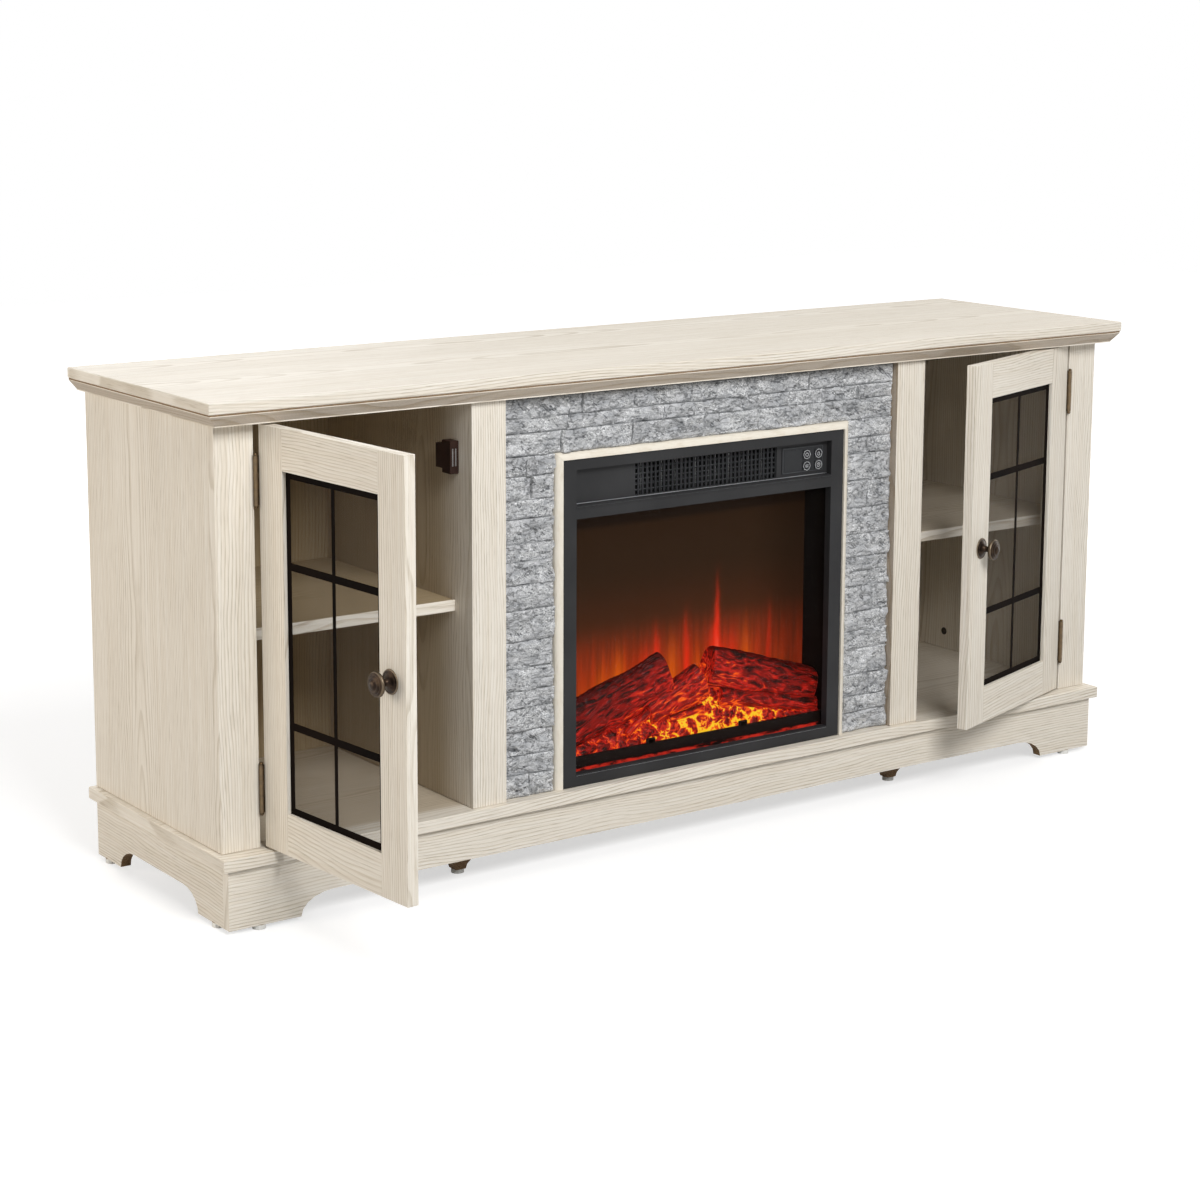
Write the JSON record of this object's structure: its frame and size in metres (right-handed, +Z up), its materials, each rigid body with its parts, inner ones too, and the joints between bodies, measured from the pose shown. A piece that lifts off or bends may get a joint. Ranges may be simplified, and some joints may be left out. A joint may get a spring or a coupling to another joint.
{
  "type": "fireplace tv stand",
  "caption": "Low media cabinet with a glass-doored compartment at each end and an electric firebox framed in ledge stone between them.",
  "frame": {"origin": "on the floor, in the middle of the box that the stand fills with its doors open as pictured", "axes": "+X to the viewer's right along the width, +Y from the front to the back, +Z up"},
  "size_m": [1.6, 0.6988, 0.697],
  "materials": {
    "oak": "whitewashed oak grain, matt",
    "hardboard": "thin fibreboard, matt",
    "raw_board": "raw fibreboard, unfinished",
    "stone": "split grey ledge stone",
    "bead": "cream painted moulding, satin",
    "black_steel": "charcoal powder coat",
    "grey_steel": "grey sheet steel",
    "black_plastic": "black, fine texture",
    "smoked_glass": "smoked glass with black strips",
    "fire_glass": "tinted clear glass",
    "bronze": "antique bronze, satin",
    "brown_plastic": "dark brown plastic",
    "ember_resin": "moulded resin logs and embers",
    "flame_acrylic": "translucent flame screen",
    "circuit": "circuit board",
    "fin_aluminium": "bright aluminium"
  },
  "bodies": {
    "cabinet": {"top_board": "oak", "cornice_board": "oak", "base_board": "oak", "skirt_front": "oak", "stone_header": "stone", "trim_top": "bead", "insert_bezel": "black_steel", "insert_glass": "fire_glass", "heater_grille": "black_steel", "control_panel": "black_plastic", "control_board": "circuit", "insert_housing": "grey_steel", "heater_duct": "grey_steel", "heating_element": "fin_aluminium", "flame_screen": "flame_acrylic", "fret_bar": "grey_steel", "log_set": "ember_resin", "flicker_motor": "grey_steel", "side_panel_left": "oak", "outer_stile_left": "oak", "partition_left": "oak", "inner_stile_left": "oak", "shelf_left": "oak", "skirt_left": "oak", "support_leg_left": "raw_board", "back_panel_left": "hardboard", "catch_left": "brown_plastic", "stone_left": "stone", "trim_left": "bead", "lower_hinge_leaf_left": "bronze", "upper_hinge_leaf_left": "bronze", "side_panel_right": "oak", "outer_stile_right": "oak", "partition_right": "oak", "inner_stile_right": "oak", "shelf_right": "oak", "skirt_right": "oak", "support_leg_right": "raw_board", "back_panel_right": "hardboard", "catch_right": "brown_plastic", "stone_right": "stone", "trim_right": "bead", "lower_hinge_leaf_right": "bronze", "upper_hinge_leaf_right": "bronze"},
    "door_left": {"door_frame_left": "oak", "door_glass_left": "smoked_glass", "knob_left": "bronze", "lower_door_leaf_left": "bronze", "upper_door_leaf_left": "bronze"},
    "door_right": {"door_frame_right": "oak", "door_glass_right": "smoked_glass", "knob_right": "bronze", "lower_door_leaf_right": "bronze", "upper_door_leaf_right": "bronze"},
    "power_key": {"power_button": "black_plastic"},
    "flame_key": {"flame_button": "black_plastic"},
    "heater_key": {"heater_button": "black_plastic"},
    "timer_key": {"timer_button": "black_plastic"},
    "flicker_rotor": {"flicker_spindle": "fin_aluminium"},
    "blower_rotor": {"blower_wheel": "black_plastic"}
  },
  "joints": [
    {"name": "left_door_hinge", "type": "hinge", "parent": "cabinet", "child": "door_left", "pos_m": [-0.72062, -0.03641, 0.3845], "axis": [0, 0, -1], "range_deg": [-85.3, 84.7]},
    {"name": "right_door_hinge", "type": "hinge", "parent": "cabinet", "child": "door_right", "pos_m": [0.72062, -0.03641, 0.3845], "axis": [0, 0, 1], "range_deg": [-19.6, 150.4]},
    {"name": "power_press", "type": "slide", "parent": "cabinet", "child": "power_key", "axis": [0, 1, 0], "range_m": [0, 0.0008], "stiffness_N_per_m": 500, "springref_m": -0.0005},
    {"name": "flame_press", "type": "slide", "parent": "cabinet", "child": "flame_key", "axis": [0, 1, 0], "range_m": [0, 0.0008], "stiffness_N_per_m": 500, "springref_m": -0.0005},
    {"name": "heater_press", "type": "slide", "parent": "cabinet", "child": "heater_key", "axis": [0, 1, 0], "range_m": [0, 0.0008], "stiffness_N_per_m": 500, "springref_m": -0.0005},
    {"name": "timer_press", "type": "slide", "parent": "cabinet", "child": "timer_key", "axis": [0, 1, 0], "range_m": [0, 0.0008], "stiffness_N_per_m": 500, "springref_m": -0.0005},
    {"name": "flicker_spin", "type": "hinge", "parent": "cabinet", "child": "flicker_rotor", "pos_m": [-0.014, 0.06239, 0.15], "axis": [1, 0, 0], "continuous": true},
    {"name": "blower_spin", "type": "hinge", "parent": "cabinet", "child": "blower_rotor", "pos_m": [0.005, 0.05939, 0.52677], "axis": [1, 0, 0], "continuous": true}
  ]
}
